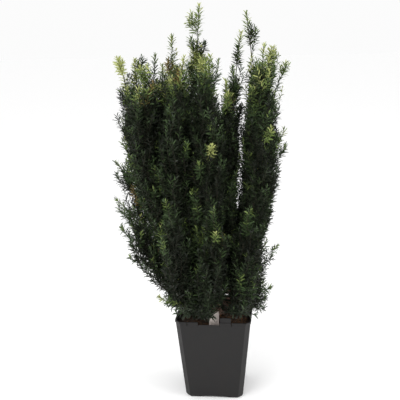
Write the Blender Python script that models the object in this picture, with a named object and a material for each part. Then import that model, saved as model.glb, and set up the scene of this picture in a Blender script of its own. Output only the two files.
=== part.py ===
"""A young column-shaped yew in its deep square nursery pot.

The plant is a short flared stem whose head throws up many boughs, and each bough carries one upright
mass of foliage that ends in a thin leader. It stands in a tapered pot with cut-off corners, on its root
ball, with a blank plant label at the front. Every piece is its own closed solid.

Metres, +Z up. The origin is the centre of the pot's flat underside, and the front looks towards -Y.
"""
from dataclasses import dataclass
from math import atan2, cos, hypot, pi, radians, sin
from random import Random

import bmesh
import bpy
import numpy as np
from mathutils import Matrix, Vector

# Pot
POT_HEIGHT = 0.241
POT_TURN = radians(-6)          # the pot is turned a little clockwise under the plant
RIM_HALF = 0.1045               # half the width over the flats at the rim
BASE_HALF = 0.0810              # half the width over the flats at the foot
CORNER_FACET = 0.0180           # width of each cut-off corner
FOOT_ROUND = 0.007              # height over which the walls draw in to the foot
FOOT_INSET = 0.003
LIP_HEIGHT = 0.007
LIP_OUT = 0.0015
WALL = 0.0022
FLOOR = 0.0030
ARCH_HALF_WIDTH = 0.042         # each side of the foot is arched between two corner feet
ARCH_RISE = 0.0055
ARCH_DEPTH = 0.016
SLIT_WIDTH = 0.0018
SLIT_DEPTH = 0.011
SLIT_PLACES = (-0.0715, -0.0400, 0.0190, 0.0525)
RECESS_DEPTH = 0.008            # the rim is lowered between the middle two slits
TAB_HEIGHT = 0.014              # and a raised tab stands between the last two

# Root ball and plant label
SOIL_TOP = 0.2230
SOIL_CROWN = 0.004              # the soil swells a little towards the stem
FIT_GAP = 0.0003
LABEL_WIDTH = 0.028
LABEL_THICKNESS = 0.0008
LABEL_TOP = 0.265
LABEL_STAKE = 0.030             # length below the soil
LABEL_PLACE = (-0.006, -0.0880)
LABEL_LEAN = radians(-6)
LABEL_TURN = radians(6)

# Stem: a flared foot, a short shank and a swollen head from which the boughs fan
STEM_FLARE = 0.024
STEM_SHANK = 0.015
HEAD_RADIUS = 0.027
HEAD_HEIGHT = 0.2740
STEM_LEAN = Vector((-0.004, 0.003, 0.0))
STEM_SIDES = 20
FLARE_LOBES = 4

# Boughs
BOUGH_BASE_RADIUS = 0.0036
BOUGH_END_RADIUS = 0.0026
BOUGH_STRAIGHT = 0.004          # straight run where it leaves the head and enters its mass
BOUGH_BENDS = 3

# Foliage: the masses stand on a dome over the stem's head, and keep clear of each other
DOME_CENTRE_HEIGHT = 0.262
DOME_REACH = 0.104
DOME_RISE = 0.112
FOOT_RADIUS = 0.008
LEADER_SWEEP = 2.0              # how late a leader leans away from its mass
FOOT_SPREAD = 1.5               # how quickly a mass swings out over its foot
SPIRE_RADIUS = 0.0145
SPIRE_END = 0.005
SPIRE_POINT = 0.022             # length over which a spire comes to its point
MASS_GAP = 0.0045
SECTION_SIDES = 10
LEVEL_STEP = 0.05
UNEVENNESS = ((2, 0.10, 9.0), (3, 0.08, -14.0), (5, 0.05, 23.0))   # lobes, share, twist per metre

# A slot of sky that runs from front to back between the right-hand masses and the rest
SLOT_BOTTOM = (0.062, 0.575)    # x and z of its lower end
SLOT_TOP = (0.091, 0.930)
SLOT_WIDTH = 0.013
SLOT_SPLAY = 0.045              # it opens out towards the back by this much per metre


@dataclass(frozen=True)
class Mass:
    """One mass of foliage: where its bough leaves the head, its widest place, and its leader."""

    name: str
    rise: float          # slope of its bough at the stem's head, degrees
    belly: tuple         # centre of its widest level
    girth: float         # radius there
    spire: float         # length of its thin leader
    tip: tuple           # end of the leader
    turn: float = 0.0    # its foot's bearing, past that of its belly, degrees
    right_of_slot: bool = False


MASSES = (
    Mass("centre_tall", 84, (-0.046, 0.005, 0.68), 0.058, 0.12, (-0.033, 0.000, 1.100), turn=-60),
    Mass("centre_front", 32, (-0.026, -0.140, 0.67), 0.060, 0.03, (-0.018, -0.110, 0.976)),
    Mass("centre_right", 56, (0.034, -0.095, 0.66), 0.050, 0.09, (0.031, -0.100, 0.916)),
    Mass("slot_side", 66, (0.049, 0.000, 0.66), 0.048, 0.12, (0.077, -0.010, 1.029)),
    Mass("centre_back", 56, (-0.006, 0.130, 0.62), 0.058, 0.05, (-0.026, 0.130, 0.930)),
    Mass("back_right", 40, (0.046, 0.125, 0.58), 0.046, 0.04, (0.046, 0.140, 0.840)),
    Mass("left_tall", 58, (-0.112, 0.020, 0.68), 0.056, 0.07, (-0.106, 0.020, 1.020)),
    Mass("left_front", 42, (-0.101, -0.130, 0.68), 0.058, 0.03, (-0.072, -0.115, 0.978)),
    Mass("left_inner", 64, (-0.136, -0.050, 0.68), 0.050, 0.05, (-0.130, -0.050, 0.953)),
    Mass("left_back", 42, (-0.171, 0.080, 0.66), 0.054, 0.06, (-0.153, 0.050, 0.967)),
    Mass("left_fore", 28, (-0.176, -0.105, 0.71), 0.050, 0.03, (-0.176, -0.095, 0.953)),
    Mass("left_outer", 44, (-0.200, -0.035, 0.76), 0.044, 0.05, (-0.203, -0.050, 0.966)),
    Mass("left_edge", 30, (-0.229, 0.030, 0.82), 0.034, 0.08, (-0.256, 0.000, 0.968)),
    Mass("back_left", 34, (-0.096, 0.140, 0.64), 0.060, 0.05, (-0.111, 0.150, 0.935)),
    Mass("right_front", 32, (0.121, -0.090, 0.71), 0.050, 0.05, (0.131, -0.080, 1.003), right_of_slot=True),
    Mass("right_tall", 44, (0.116, 0.050, 0.68), 0.050, 0.11, (0.091, 0.020, 1.078), right_of_slot=True),
    Mass("right_edge", 34, (0.142, -0.020, 0.74), 0.041, 0.08, (0.199, -0.010, 0.938), right_of_slot=True),
    Mass("right_back", 30, (0.124, 0.128, 0.64), 0.052, 0.05, (0.172, 0.070, 0.980), right_of_slot=True),
    Mass("low_left", 12, (-0.214, 0.050, 0.54), 0.044, 0.05, (-0.276, 0.010, 0.680)),
    Mass("low_left_fore", 10, (-0.198, -0.075, 0.48), 0.044, 0.04, (-0.279, -0.040, 0.592), turn=5),
    Mass("low_left_skirt", 6, (-0.172, -0.015, 0.38), 0.030, 0.02, (-0.238, -0.020, 0.415)),
    Mass("low_front_left", 6, (-0.100, -0.135, 0.42), 0.054, 0.04, (-0.131, -0.185, 0.620), turn=-3),
    Mass("low_front", 6, (-0.006, -0.135, 0.40), 0.056, 0.04, (-0.006, -0.195, 0.600), turn=-12),
    Mass("low_front_right", 6, (0.080, -0.115, 0.41), 0.053, 0.04, (0.094, -0.165, 0.590)),
    Mass("low_right", -2, (0.108, 0.000, 0.31), 0.042, 0.03, (0.150, 0.000, 0.450)),
    Mass("low_right_back", 6, (0.084, 0.125, 0.40), 0.053, 0.04, (0.109, 0.180, 0.600)),
    Mass("low_back", 6, (-0.021, 0.145, 0.41), 0.056, 0.04, (-0.031, 0.200, 0.610)),
    Mass("low_back_left", 8, (-0.131, 0.125, 0.43), 0.056, 0.04, (-0.186, 0.165, 0.610)),
)


def new_collection(name):
    """A collection of this name, linked to the scene."""
    collection = bpy.data.collections.new(name)
    bpy.context.scene.collection.children.link(collection)
    return collection


def principled(name, colour, roughness, metallic=0.0):
    """A Principled material of one colour."""
    material = bpy.data.materials.new(name)
    material.use_nodes = True
    shader = material.node_tree.nodes["Principled BSDF"]
    shader.inputs["Base Color"].default_value = (*colour, 1.0)
    shader.inputs["Roughness"].default_value = roughness
    shader.inputs["Metallic"].default_value = metallic
    return material


def add_object(name, data, collection, material=None):
    """An object of this name and data in a collection, with its material."""
    piece = bpy.data.objects.new(name, data)
    collection.objects.link(piece)
    if material:
        data.materials.append(material)
    return piece


def loft(name, rings):
    """A closed mesh through rings of equal count, lowest first, each anticlockwise from above."""
    count = len(rings[0])
    points = [tuple(point) for ring in rings for point in ring]
    faces = [tuple(reversed(range(count)))]
    for level in range(len(rings) - 1):
        low, high = level * count, (level + 1) * count
        for k in range(count):
            after = (k + 1) % count
            faces.append((low + k, low + after, high + after, high + k))
    faces.append(tuple(range((len(rings) - 1) * count, len(rings) * count)))
    mesh = bpy.data.meshes.new(name)
    mesh.from_pydata(points, [], faces)
    mesh.update()
    return mesh


def box_mesh(name, size, place):
    """A mesh of a box of this size about a place."""
    mesh = bpy.data.meshes.new(name)
    shape = bmesh.new()
    bmesh.ops.create_cube(shape, size=1.0, matrix=Matrix.Translation(place) @ Matrix.Diagonal((*size, 1.0)))
    shape.to_mesh(mesh)
    shape.free()
    return mesh


def as_cutter(piece):
    """Mark an object as a cutter, left out of the model itself."""
    piece.hide_render = True
    piece.display_type = "WIRE"
    return piece


def boolean(piece, other, operation):
    """Add a Boolean modifier of one operation."""
    modifier = piece.modifiers.new(f"{operation.title()} {other.name}", "BOOLEAN")
    modifier.operation = operation
    modifier.solver = "EXACT"
    modifier.object = other


def pot_half(height):
    """Half the pot's width over the flats at a height."""
    return BASE_HALF + (RIM_HALF - BASE_HALF) * height / POT_HEIGHT


def octagon(half, height):
    """The pot's section: a square whose corners are cut off by facets of one width."""
    flat = half - CORNER_FACET / 2 ** 0.5
    corners = ((half, -flat), (half, flat), (flat, half), (-flat, half),
               (-half, flat), (-half, -flat), (-flat, -half), (flat, -half))
    return [(x, y, height) for x, y in corners]


def build_pot(parts, cutters, material):
    """The pot: a thin tapered shell with arched sides to its foot, a lip, slits and a raised tab."""
    lip_foot = POT_HEIGHT - LIP_HEIGHT
    outer = [
        octagon(BASE_HALF - FOOT_INSET, 0.0),
        octagon(pot_half(FOOT_ROUND), FOOT_ROUND),
        octagon(pot_half(lip_foot), lip_foot),
        octagon(pot_half(lip_foot) + LIP_OUT, lip_foot + LIP_OUT),
        octagon(RIM_HALF + LIP_OUT, POT_HEIGHT),
    ]
    pot = add_object("pot", loft("pot", outer), parts, material)
    inner = [
        octagon(pot_half(ARCH_RISE + FLOOR) - WALL, ARCH_RISE + FLOOR),
        octagon(pot_half(POT_HEIGHT + LIP_HEIGHT) - WALL, POT_HEIGHT + LIP_HEIGHT),
    ]
    hollow = as_cutter(add_object("pot_hollow", loft("pot_hollow", inner), cutters))
    boolean(pot, hollow, "DIFFERENCE")
    tab_left, tab_right = SLIT_PLACES[2] + SLIT_WIDTH, SLIT_PLACES[3] - SLIT_WIDTH
    tab_size = (tab_right - tab_left, WALL, TAB_HEIGHT + LIP_HEIGHT)
    tab_place = ((tab_left + tab_right) / 2, -RIM_HALF + WALL / 2, POT_HEIGHT + (TAB_HEIGHT - LIP_HEIGHT) / 2)
    tab = as_cutter(add_object("pot_tab", box_mesh("pot_tab", tab_size, tab_place), cutters))
    boolean(pot, tab, "UNION")
    for side in range(4):
        turn = Matrix.Rotation(side * pi / 2, 4, "Z")
        arch = bpy.data.meshes.new(f"foot_arch_{side}")
        shape = bmesh.new()
        lie_down = Matrix.Rotation(pi / 2, 4, "X")
        spread = Matrix.Diagonal((ARCH_HALF_WIDTH, 1.0, ARCH_RISE, 1.0))
        place = Matrix.Translation((0.0, -BASE_HALF, 0.0))
        bmesh.ops.create_cone(shape, cap_ends=True, segments=12, radius1=1.0, radius2=1.0,
                              depth=2 * ARCH_DEPTH, matrix=turn @ place @ spread @ lie_down)
        shape.to_mesh(arch)
        shape.free()
        boolean(pot, as_cutter(add_object(arch.name, arch, cutters)), "DIFFERENCE")
    recess_size = (SLIT_PLACES[2] - SLIT_PLACES[1], 4 * WALL, 2 * RECESS_DEPTH)
    recess = box_mesh("rim_recess", recess_size, ((SLIT_PLACES[1] + SLIT_PLACES[2]) / 2, -RIM_HALF, POT_HEIGHT))
    boolean(pot, as_cutter(add_object("rim_recess", recess, cutters)), "DIFFERENCE")
    for index, place in enumerate(SLIT_PLACES):
        size = (SLIT_WIDTH, 4 * WALL, 2 * SLIT_DEPTH)
        slit = box_mesh(f"rim_slit_{index}", size, (place, -RIM_HALF, POT_HEIGHT))
        boolean(pot, as_cutter(add_object(slit.name, slit, cutters)), "DIFFERENCE")
    for piece in (pot, *cutters.objects):
        piece.rotation_euler.z = POT_TURN
    return pot


def build_root_ball(parts, cutters, material):
    """The root ball, which fills the pot to just under its rim and swells towards the stem."""
    shrink = WALL + FIT_GAP
    floor = ARCH_RISE + FLOOR + FIT_GAP
    rings = [
        octagon(pot_half(floor) - shrink, floor),
        octagon(pot_half(SOIL_TOP) - shrink, SOIL_TOP),
        [(0.75 * x, 0.75 * y, SOIL_TOP + 0.7 * SOIL_CROWN) for x, y, _ in octagon(RIM_HALF, 0.0)],
        [(0.5 * x, 0.5 * y, SOIL_TOP + SOIL_CROWN) for x, y, _ in octagon(RIM_HALF, 0.0)],
    ]
    ball = add_object("root_ball", loft("root_ball", rings), parts, material)
    ball.rotation_euler.z = POT_TURN
    grown = [LABEL_WIDTH + 2 * FIT_GAP, LABEL_THICKNESS + 2 * FIT_GAP]
    slot = box_mesh("label_slot", (*grown, 2 * (LABEL_STAKE + FIT_GAP)), (0, 0, 0))
    slot = as_cutter(add_object("label_slot", slot, cutters))
    place_label(slot)
    boolean(ball, slot, "DIFFERENCE")
    return ball


def place_label(piece):
    """Put a piece modelled about the label's foot line where the label enters the soil."""
    piece.location = (*LABEL_PLACE, SOIL_TOP)
    piece.rotation_euler = (LABEL_LEAN, 0.0, LABEL_TURN)


def build_label(parts, material):
    """The blank plant label: a thin plate pushed into the soil behind the front wall."""
    height = LABEL_TOP - SOIL_TOP + LABEL_STAKE
    size = (LABEL_WIDTH, LABEL_THICKNESS, height)
    label = add_object("plant_label", box_mesh("plant_label", size, (0, 0, height / 2 - LABEL_STAKE)),
                       parts, material)
    place_label(label)
    return label


def stem_axis(height):
    """The stem's centre at a height: it leans a little from its foot to its head."""
    share = (height - SOIL_TOP - SOIL_CROWN) / (HEAD_HEIGHT - SOIL_TOP - SOIL_CROWN)
    return STEM_LEAN * min(1.0, share)


def build_stem(parts, material):
    """The stem: a lobed flare cut flat at the soil, a shank, and a round head."""
    foot = SOIL_TOP + SOIL_CROWN + FIT_GAP
    head_foot = HEAD_HEIGHT - HEAD_RADIUS * cos(radians(35))
    profile = [(foot, STEM_FLARE, 0.16), (foot + 0.007, 0.75 * STEM_FLARE, 0.11), (head_foot, STEM_SHANK, 0.03)]
    for angle in range(-25, 90, 16):
        profile.append((HEAD_HEIGHT + HEAD_RADIUS * sin(radians(angle)), HEAD_RADIUS * cos(radians(angle)), 0.0))
    rings = []
    for height, radius, lobes in profile:
        centre = stem_axis(height)
        ring = []
        for k in range(STEM_SIDES):
            angle = 2 * pi * k / STEM_SIDES
            reach = radius * (1 + lobes * cos(FLARE_LOBES * angle + 0.7))
            ring.append((centre.x + reach * cos(angle), centre.y + reach * sin(angle), height))
        rings.append(ring)
    return add_object("stem", loft("stem", rings), parts, material)


def dome_radius(height):
    """The reach of the dome that the boughs fan out in, at a height, or zero above it."""
    share = (height - DOME_CENTRE_HEIGHT) / DOME_RISE
    return DOME_REACH * max(0.0, 1 - share * share) ** 0.5


def bearing_of(mass):
    """The bearing of a mass's bough, radians anticlockwise from +X."""
    return atan2(mass.belly[1], mass.belly[0]) + radians(mass.turn)


def foot_of(mass):
    """The centre of a mass's flat foot, on the dome."""
    rise, bearing = radians(mass.rise), bearing_of(mass)
    reach = DOME_REACH * cos(rise)
    return Vector((reach * cos(bearing), reach * sin(bearing), DOME_CENTRE_HEIGHT + DOME_RISE * sin(rise)))


def centre_of(mass, height):
    """A mass's centre (x, y) at a height, which swings out from the foot and then follows the leader."""
    foot, belly, tip = foot_of(mass), Vector(mass.belly), Vector(mass.tip)
    if height <= belly.z:
        share = max(0.0, (height - foot.z) / (belly.z - foot.z))
        return foot.xy.lerp(belly.xy, 1 - (1 - share) ** FOOT_SPREAD)
    share = min(1.0, (height - belly.z) / (tip.z - belly.z))
    return belly.xy.lerp(tip.xy, share ** LEADER_SWEEP)


def girth_of(mass, height):
    """A mass's radius at a height: it swells over its foot, thins to its leader and comes to a point."""
    foot, belly, tip = foot_of(mass).z, mass.belly[2], mass.tip[2]
    shoulder = tip - mass.spire
    if height <= belly:
        share = max(0.0, (height - foot) / (belly - foot))
        return FOOT_RADIUS + (mass.girth - FOOT_RADIUS) * sin(share * pi / 2) ** 0.7
    if height <= shoulder:
        share = (height - belly) / (shoulder - belly)
        return SPIRE_RADIUS + (mass.girth - SPIRE_RADIUS) * (1 - share ** 2.4)
    point = min(1.0, max(0.0, (height - tip + SPIRE_POINT) / SPIRE_POINT))
    return SPIRE_RADIUS + (SPIRE_END - SPIRE_RADIUS) * point


def is_near(mass, height):
    """Whether a mass reaches within one level of a height."""
    return foot_of(mass).z - LEVEL_STEP < height < mass.tip[2] + LEVEL_STEP


def walls_about(mass, height):
    """The walls that bound a mass at a height, each an outward bearing and its distance from the centre."""
    centre, girth = centre_of(mass, height), girth_of(mass, height)
    walls = []
    for other in MASSES:
        if other is mass or not is_near(other, height):
            continue
        across = centre_of(other, height) - centre
        share = girth / (girth + girth_of(other, height))
        walls.append((atan2(across.y, across.x), across.length * share - MASS_GAP / 2))
    inner = dome_radius(height)
    if inner > 0.0 and height > foot_of(mass).z + FIT_GAP:
        walls.append((atan2(-centre.y, -centre.x), centre.length - inner))
    (low_x, low_z), (high_x, high_z) = SLOT_BOTTOM, SLOT_TOP
    if low_z - LEVEL_STEP < height < high_z + LEVEL_STEP:
        slot_x = low_x + (high_x - low_x) * (height - low_z) / (high_z - low_z) + SLOT_SPLAY * centre.y
        side = 1 if mass.right_of_slot else -1
        lean = atan2(-SLOT_SPLAY, 1.0)
        walls.append((lean + (pi if mass.right_of_slot else 0.0), side * (centre.x - slot_x) - SLOT_WIDTH / 2))
    return walls


def section_of(mass, height, phases):
    """The uneven section of a mass at a height, held inside its walls."""
    centre, girth, walls = centre_of(mass, height), girth_of(mass, height), walls_about(mass, height)
    ring = []
    for k in range(SECTION_SIDES):
        angle = 2 * pi * k / SECTION_SIDES
        swell = sum(share * sin(lobes * angle + phase + twist * height)
                    for (lobes, share, twist), phase in zip(UNEVENNESS, phases))
        reach = girth * (1 + swell)
        for bearing, distance in walls:
            facing = cos(angle - bearing)
            if facing > 0.0:
                reach = min(reach, max(distance, 0.002) / facing)
        ring.append((centre.x + reach * cos(angle), centre.y + reach * sin(angle), height))
    return ring


def levels_of(mass):
    """The heights of a mass's sections: shared levels, with its own foot, shoulder and tip."""
    foot, tip = foot_of(mass).z, mass.tip[2]
    own = [foot, foot + 0.012, tip - SPIRE_POINT, tip]
    shared = np.arange(0.25, 1.2, LEVEL_STEP)
    return own[:2] + [h for h in shared if own[1] + 0.015 < h < own[2] - 0.015] + own[2:]


def build_mass(mass, parts, material):
    """One mass of foliage, lofted through its sections."""
    random = Random(mass.name)
    phases = [random.uniform(0, 2 * pi) for _ in UNEVENNESS]
    rings = [section_of(mass, height, phases) for height in levels_of(mass)]
    return add_object(f"foliage_{mass.name}", loft(mass.name, rings), parts, material)


def build_bough(mass, parts, material):
    """The bough of a mass: a tapering limb that leaves the stem's head and turns up into the mass's foot."""
    rise, bearing = radians(mass.rise), bearing_of(mass)
    head = stem_axis(HEAD_HEIGHT) + Vector((0, 0, HEAD_HEIGHT))
    outward = Vector((cos(rise) * cos(bearing), cos(rise) * sin(bearing), sin(rise)))
    start = head + outward * (HEAD_RADIUS + FIT_GAP)
    end = foot_of(mass) - Vector((0, 0, FIT_GAP))
    leave = start + outward * BOUGH_STRAIGHT
    enter = end - Vector((0, 0, BOUGH_STRAIGHT))
    pull = (enter - leave).length / 3
    bend, below = leave + outward * pull, enter - Vector((0, 0, pull))
    route = [start]
    for index in range(BOUGH_BENDS + 1):
        t = index / BOUGH_BENDS
        route.append(leave * (1 - t) ** 3 + bend * 3 * t * (1 - t) ** 2 + below * 3 * t * t * (1 - t) + enter * t ** 3)
    route.append(end)
    curve = bpy.data.curves.new(f"bough_{mass.name}", "CURVE")
    curve.dimensions = "3D"
    curve.bevel_depth = 1.0
    curve.bevel_resolution = 1
    curve.use_fill_caps = True
    spline = curve.splines.new("POLY")
    spline.points.add(len(route) - 1)
    for index, (point, place) in enumerate(zip(spline.points, route)):
        point.co = (*place, 1.0)
        point.radius = BOUGH_BASE_RADIUS + (BOUGH_END_RADIUS - BOUGH_BASE_RADIUS) * index / (len(route) - 1)
    return add_object(f"bough_{mass.name}", curve, parts, material)


def main():
    """Build every piece."""
    for old in list(bpy.data.objects):
        bpy.data.objects.remove(old, do_unlink=True)
    parts = new_collection("Potted_yew")
    pot_cutters = new_collection("Pot_cutters")
    soil_cutters = new_collection("Soil_cutters")
    plastic = principled("Moulded plastic", (0.034, 0.032, 0.029), 0.55)
    soil = principled("Potting soil", (0.035, 0.022, 0.014), 0.95)
    card = principled("Blank label card", (0.55, 0.48, 0.45), 0.6)
    bark = principled("Red-brown bark", (0.11, 0.055, 0.035), 0.85)
    needles = principled("Dark green needles", (0.028, 0.052, 0.018), 0.6)
    build_pot(parts, pot_cutters, plastic)
    build_root_ball(parts, soil_cutters, soil)
    build_label(parts, card)
    build_stem(parts, bark)
    for mass in MASSES:
        build_bough(mass, parts, bark)
        build_mass(mass, parts, needles)


main()
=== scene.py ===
"""The looks of a young column-shaped yew in its square nursery pot.

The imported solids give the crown's outline. Each mass of foliage is replaced by shoots and twigs that grow up
from its limb by a seeded rule, clothed in flat needles. The stem and the boughs get thin scaly bark, the root
ball gets crumbs of potting soil, and the pot and its blank label keep their solids.
"""

import logging
from dataclasses import dataclass, field, replace
from enum import Enum
from math import cos, pi, radians, sin
from typing import Any

import bpy
import numpy as np
from bpy.types import Material, Node, NodeTree, Object
from mathutils import Matrix, Vector


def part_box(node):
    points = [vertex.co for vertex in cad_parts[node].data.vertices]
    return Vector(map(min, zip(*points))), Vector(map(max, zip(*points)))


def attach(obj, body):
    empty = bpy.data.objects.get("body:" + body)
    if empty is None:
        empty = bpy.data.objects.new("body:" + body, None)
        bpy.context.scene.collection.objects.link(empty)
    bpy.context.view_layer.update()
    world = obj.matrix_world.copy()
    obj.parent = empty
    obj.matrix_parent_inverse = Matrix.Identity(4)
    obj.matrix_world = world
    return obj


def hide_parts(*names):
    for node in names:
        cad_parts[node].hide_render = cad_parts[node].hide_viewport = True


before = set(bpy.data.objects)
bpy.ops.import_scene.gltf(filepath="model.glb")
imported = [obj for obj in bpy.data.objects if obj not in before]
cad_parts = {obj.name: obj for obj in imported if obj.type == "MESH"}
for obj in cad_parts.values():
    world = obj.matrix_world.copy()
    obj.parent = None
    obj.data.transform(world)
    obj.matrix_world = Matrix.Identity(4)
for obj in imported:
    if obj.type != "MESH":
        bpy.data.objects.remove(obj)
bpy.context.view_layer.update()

LOG = logging.getLogger("potted_yew")
Array = np.ndarray
Random = np.random.Generator
Point = tuple[float, float, float]
Span = tuple[float, float]

MM = 0.001
SEED = 20
GOLDEN_ANGLE = pi * (3 - 5 ** 0.5)
QUARTER = pi / 2
TINY = 1e-9
SLANT = np.array([0.83, -0.51, 0.22])  # no shoot or bough runs along this direction
MAX_PIECE_TRIANGLES = 190_000
POT_TURN = radians(-6.0)
ROUGH_FROM = (0.35, 0.7)  # noise values over which a finish's roughness changes
# A needle's six points, as shares of its length and of its width, those of a blunter dry one, and the four
# faces of both
NEEDLE_OUTLINE = ((0.0, 0.0), (0.3, 0.5), (0.3, -0.5), (0.78, 0.38), (0.78, -0.38), (1.0, 0.0))
DRY_OUTLINE = ((0.0, 0.0), (0.3, 0.5), (0.3, -0.5), (0.78, 0.4), (0.78, -0.4), (1.0, 0.0))
NEEDLE_FACES = np.array([[0, 1, 2], [1, 3, 2], [2, 3, 4], [3, 5, 4]])


class Tone(Enum):
    """The kinds of needle, by age and by painted shade and painted light."""

    DEEP_SHADE = "deep_shade"
    OLD = "old"
    GREEN = "green"
    FRESH = "fresh"
    PALE = "pale"
    STRAW = "straw"

    @property
    def rank(self) -> int:
        """Its place in the list of tones, from dark to light and then straw."""
        return list(Tone).index(self)


def linear(hex_colour: str) -> tuple[float, float, float, float]:
    """Turn an sRGB hex colour to linear values.

    Args:
        hex_colour: six hex digits after a hash.

    Returns:
        Red, green, blue and an alpha of one.
    """
    values = [int(hex_colour[i:i + 2], 16) / 255 for i in (1, 3, 5)]
    return (*(v / 12.92 if v <= 0.04045 else ((v + 0.055) / 1.055) ** 2.4 for v in values), 1.0)


def add_node(tree: NodeTree, kind: str, settings: dict[str, Any] | None = None,
             links: dict[str, Any] | None = None) -> Node:
    """Add a shader node with its settings and incoming links.

    Args:
        tree: the material's node tree.
        kind: the node's type.
        settings: input socket names to values.
        links: input socket names to output sockets.

    Returns:
        The new node.
    """
    made = tree.nodes.new(kind)
    for name, value in (settings or {}).items():
        made.inputs[name].default_value = value
    for name, source in (links or {}).items():
        tree.links.new(source, made.inputs[name])
    return made


def new_material(name: str, colour: str, roughness: float, ior: float,
                 specular: float = 0.5) -> tuple[Material, Node]:
    """Make a Principled material with constant values on its own sockets.

    Args:
        name: the material's name.
        colour: sRGB hex base colour.
        roughness: from 0 to 1.
        ior: index of refraction.
        specular: specular level, where a half is plain reflection.

    Returns:
        The material and its Principled node.
    """
    material = bpy.data.materials.new(name)
    material.use_nodes = True
    shader = material.node_tree.nodes["Principled BSDF"]
    shader.inputs["Base Color"].default_value = linear(colour)
    shader.inputs["Roughness"].default_value = roughness
    shader.inputs["IOR"].default_value = ior
    shader.inputs["Specular IOR Level"].default_value = specular
    return material, shader


@dataclass(frozen=True)
class Mottle:
    """Noise of a real size that carries a finish from one colour to another."""

    size: float  # width of its broadest patches
    detail: float  # number of finer octaves
    start: float = 0.0  # noise value where the first colour ends
    end: float = 1.0  # noise value where the second one begins
    fine: float = 0.5  # strength of each octave against the one before
    stretch: Point = (1.0, 1.0, 1.0)  # scale of the pattern along x, y and z

    def noise(self, tree: NodeTree) -> Any:
        """Add its noise, placed in object space.

        Args:
            tree: the material's node tree.

        Returns:
            The noise's output.
        """
        place = add_node(tree, "ShaderNodeTexCoord")
        scaled = add_node(tree, "ShaderNodeMapping", {"Scale": self.stretch},
                          {"Vector": place.outputs["Object"]})
        return add_node(tree, "ShaderNodeTexNoise",
                        {"Scale": 1 / self.size, "Detail": self.detail, "Roughness": self.fine},
                        {"Vector": scaled.outputs["Vector"]}).outputs["Fac"]

    def paint(self, tree: NodeTree, shader: Node, colours: tuple[str, str]) -> Any:
        """Drive the base colour.

        Args:
            tree: the material's node tree.
            shader: its Principled node.
            colours: sRGB hex colours at the start and the end.

        Returns:
            The noise's output, for relief or roughness that follows it.
        """
        noise = self.noise(tree)
        ramp = add_node(tree, "ShaderNodeValToRGB", links={"Fac": noise})
        for element, place, colour in zip(ramp.color_ramp.elements, (self.start, self.end), colours):
            element.position = place
            element.color = linear(colour)
        tree.links.new(ramp.outputs["Color"], shader.inputs["Base Color"])
        return noise


@dataclass(frozen=True)
class PlainFinish:
    """A finish of one plain colour."""

    name: str
    colour: str
    roughness: float
    ior: float
    specular: float = 0.5

    def material(self) -> Material:
        """The finish as a material."""
        return new_material(self.name, self.colour, self.roughness, self.ior, self.specular)[0]


@dataclass(frozen=True)
class MottledFinish:
    """A finish whose colour follows a noise. Its relief follows the same noise, or a grain of its own."""

    name: str
    colours: tuple[str, str]
    mottle: Mottle
    roughness: float
    ior: float
    specular: float = 0.5
    end_roughness: float | None = None  # roughness of the second colour, where it differs
    relief: float = 0.0  # depth in metres
    strength: float = 1.0  # of the relief, from 0 to 1
    grain: Mottle | None = None

    def material(self) -> Material:
        """Make the finish's nodes.

        Returns:
            The finish as a material.
        """
        material, shader = new_material(self.name, self.colours[0], self.roughness, self.ior, self.specular)
        tree = material.node_tree
        noise = self.mottle.paint(tree, shader, self.colours)
        if self.end_roughness is not None:
            levels = {"From Min": ROUGH_FROM[0], "From Max": ROUGH_FROM[1],
                      "To Min": self.roughness, "To Max": self.end_roughness}
            rough = add_node(tree, "ShaderNodeMapRange", levels, {"Value": noise})
            tree.links.new(rough.outputs["Result"], shader.inputs["Roughness"])
        if self.relief:
            height = self.grain.noise(tree) if self.grain else noise
            bump = add_node(tree, "ShaderNodeBump", {"Strength": self.strength, "Distance": self.relief},
                            {"Height": height})
            tree.links.new(bump.outputs["Normal"], shader.inputs["Normal"])
        return material


# Living needle: leathery and smooth, so it takes a soft gloss along its length. The darker tones are painted
# shade, darkest deep in the crown, over the darker green of old needles; the palest are this year's growth and
# painted light
NEEDLE_COLOURS = {
    # darkest tone: painted shade deep inside the crown
    Tone.DEEP_SHADE: "#1c2118",
    Tone.OLD: "#2b3425",
    Tone.GREEN: "#425434",
    Tone.FRESH: "#6d7f45",
    Tone.PALE: "#aab16e",
    Tone.STRAW: "#8c7a4b",
}
NEEDLE_FINISHES = {
    tone: PlainFinish(f"Yew needle {tone.value}", colour, roughness=0.45, ior=1.42, specular=0.25)
    for tone, colour in NEEDLE_COLOURS.items()
}
# Fallen needle: brown and dry, its gloss gone
DRY_NEEDLE = PlainFinish("Dry fallen needle", "#6b4a2c", roughness=0.7, ior=1.45)
# Seamless paper: white and matt, so the pot's shadow is soft
STUDIO_PAPER = PlainFinish("Pale studio paper", "#ffffff", roughness=0.9, ior=1.4)
# Thin scaly bark: red-brown with grey flakes that run along the limb
FLAKES = Mottle(3.5 * MM, detail=5.0, start=0.35, end=0.7, fine=0.6, stretch=(1.0, 1.0, 0.25))
STEM_BARK = MottledFinish("Scaly yew bark", ("#4a352a", "#8a7263"), FLAKES, roughness=0.85, ior=1.45,
                          relief=0.6 * MM, strength=0.7)
# Green wood that turns brown in its first winters, with finer flakes
TWIG_BARK = replace(STEM_BARK, name="Young green-brown twig", colours=("#23231a", "#3a3424"),
                    mottle=replace(FLAKES, size=2 * MM))
# Injection-moulded recycled plastic: near-black and matt, dulled by dust and splashes, with a faint grain
POT_PLASTIC = MottledFinish("Moulded black polypropylene", ("#171616", "#211f1e"),
                            Mottle(30 * MM, detail=7.0, start=0.42, end=0.75, fine=0.62),
                            roughness=0.42, ior=1.49, specular=0.3, end_roughness=0.7,
                            relief=0.15 * MM, strength=0.25, grain=Mottle(1.2 * MM, detail=2.0))
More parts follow.
